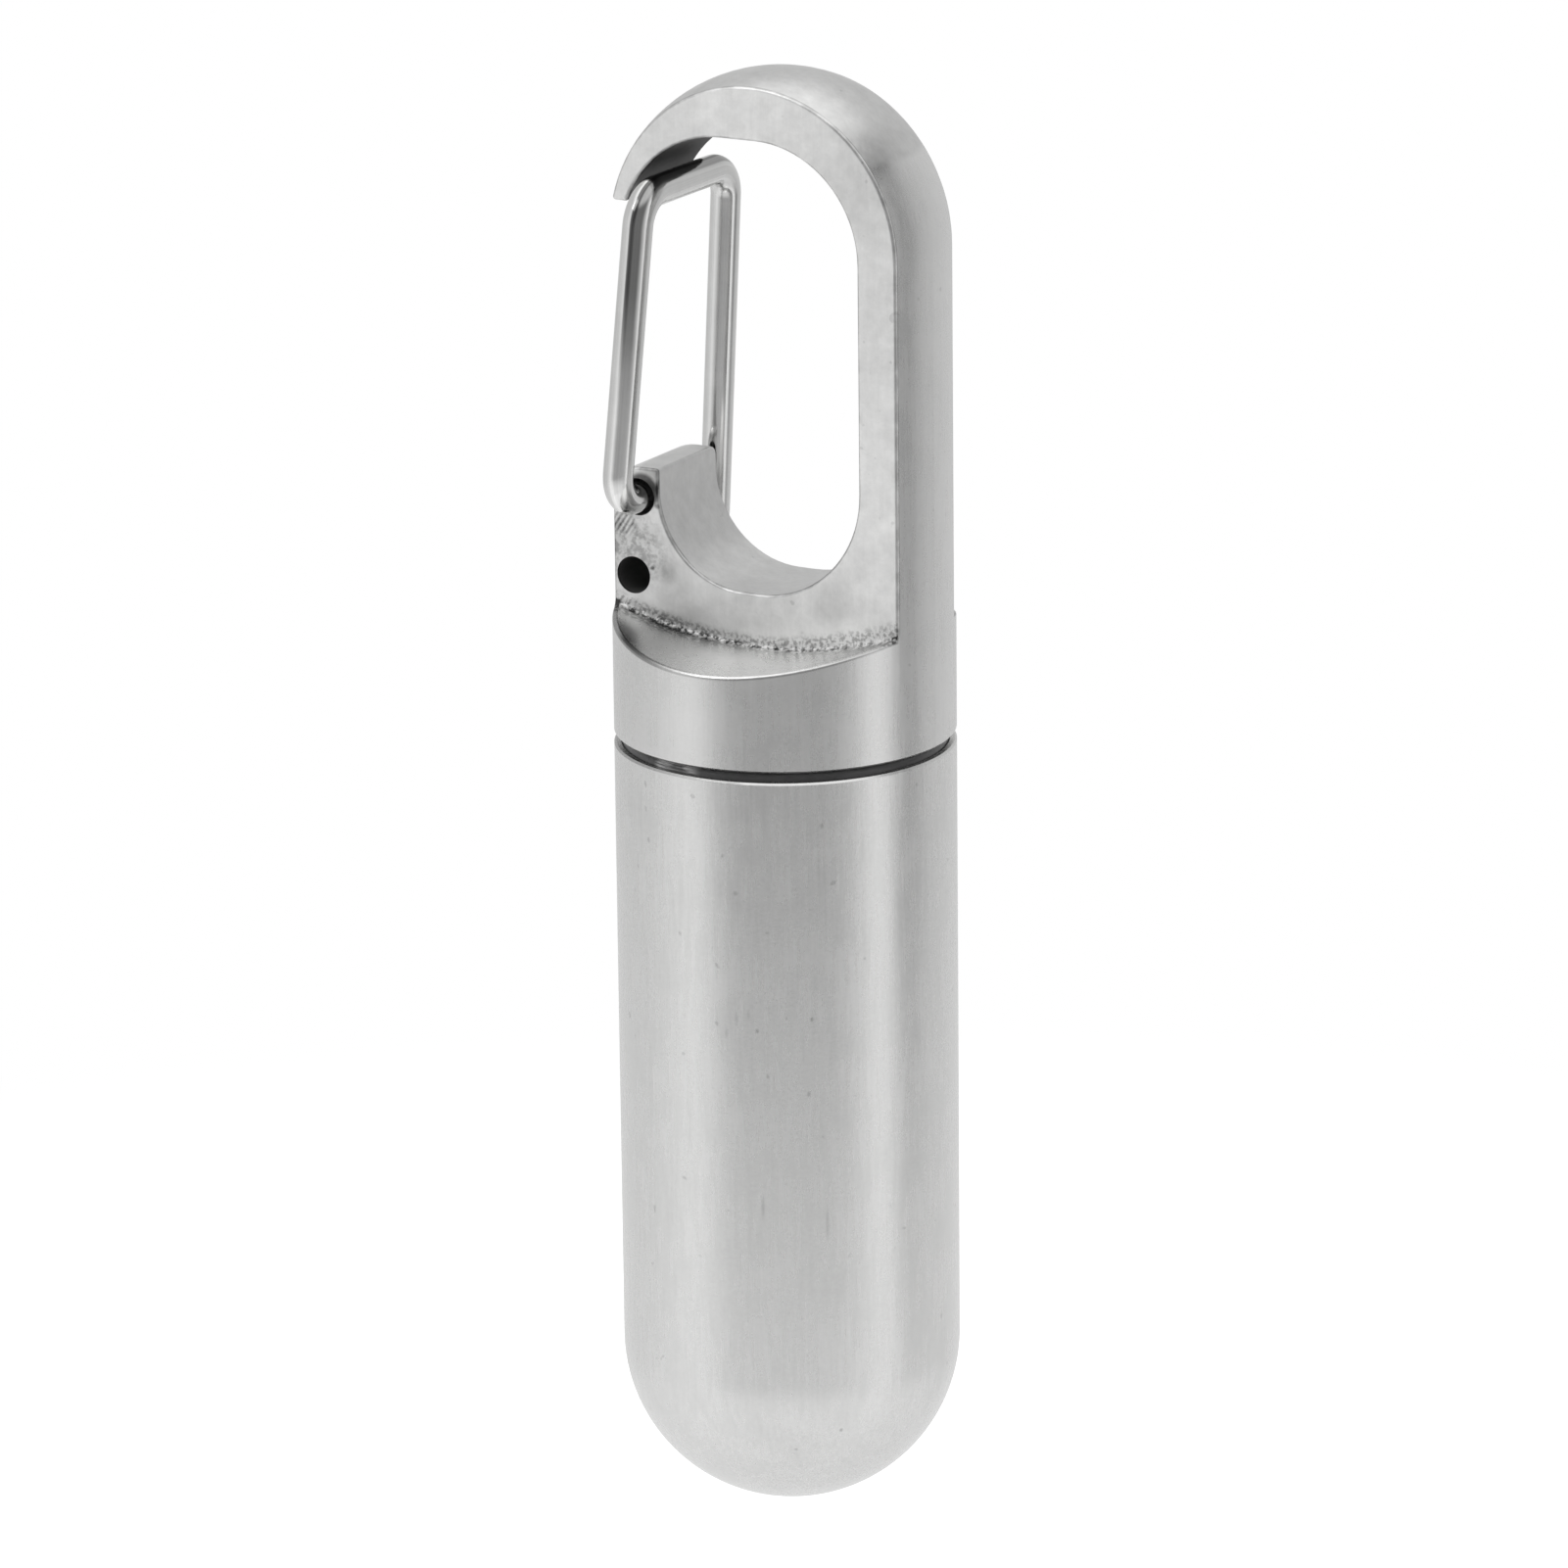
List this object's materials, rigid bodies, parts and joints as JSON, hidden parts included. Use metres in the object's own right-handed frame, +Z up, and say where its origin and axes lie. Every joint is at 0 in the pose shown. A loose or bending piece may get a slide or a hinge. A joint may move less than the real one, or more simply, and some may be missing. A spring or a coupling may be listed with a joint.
{
  "type": "pill fob keychain",
  "caption": "Round-ended steel capsule that unscrews from a collar with a sprung wire-gate hook, for carrying pills on a key ring, bag or belt loop.",
  "frame": {"origin": "where it hangs: the middle of the loop's inner crown, on the capsule's axis", "axes": "+Z up along the capsule's axis, towards the hook's crown; -Y out of the front flat; the gate is on the -X side"},
  "size_m": [0.018, 0.018, 0.0777],
  "materials": {
    "cap_steel": "satin",
    "capsule_steel": "satin",
    "gate_wire": "polished",
    "seal_rubber": "satin"
  },
  "bodies": {
    "clip_cap": {"clip_cap": "cap_steel"},
    "gate": {"wire_gate": "gate_wire"},
    "seal": {"o_ring": "seal_rubber"},
    "capsule": {"capsule_body": "capsule_steel"}
  },
  "joints": [
    {"name": "gate_swing", "type": "hinge", "parent": "clip_cap", "child": "gate", "pos_m": [-0.00699, -0.0026, -0.01955], "axis": [-0.0486, 0.7734, -0.6321], "range_deg": [0, 24], "stiffness_Nm_per_rad": 0.08, "springref_deg": -11.46},
    {"name": "capsule_turn", "type": "hinge", "parent": "clip_cap", "child": "seal", "pos_m": [0, 0, -0.0324], "axis": [0, 0, -1], "range_deg": [0, 1440]},
    {"name": "capsule_travel", "type": "slide", "parent": "seal", "child": "capsule", "axis": [0, 0, -1], "range_m": [0, 0.00601]}
  ],
  "couplings": [
    {"joint": "capsule_travel", "follows": "capsule_turn", "m_per_rad": 0.00023873}
  ]
}
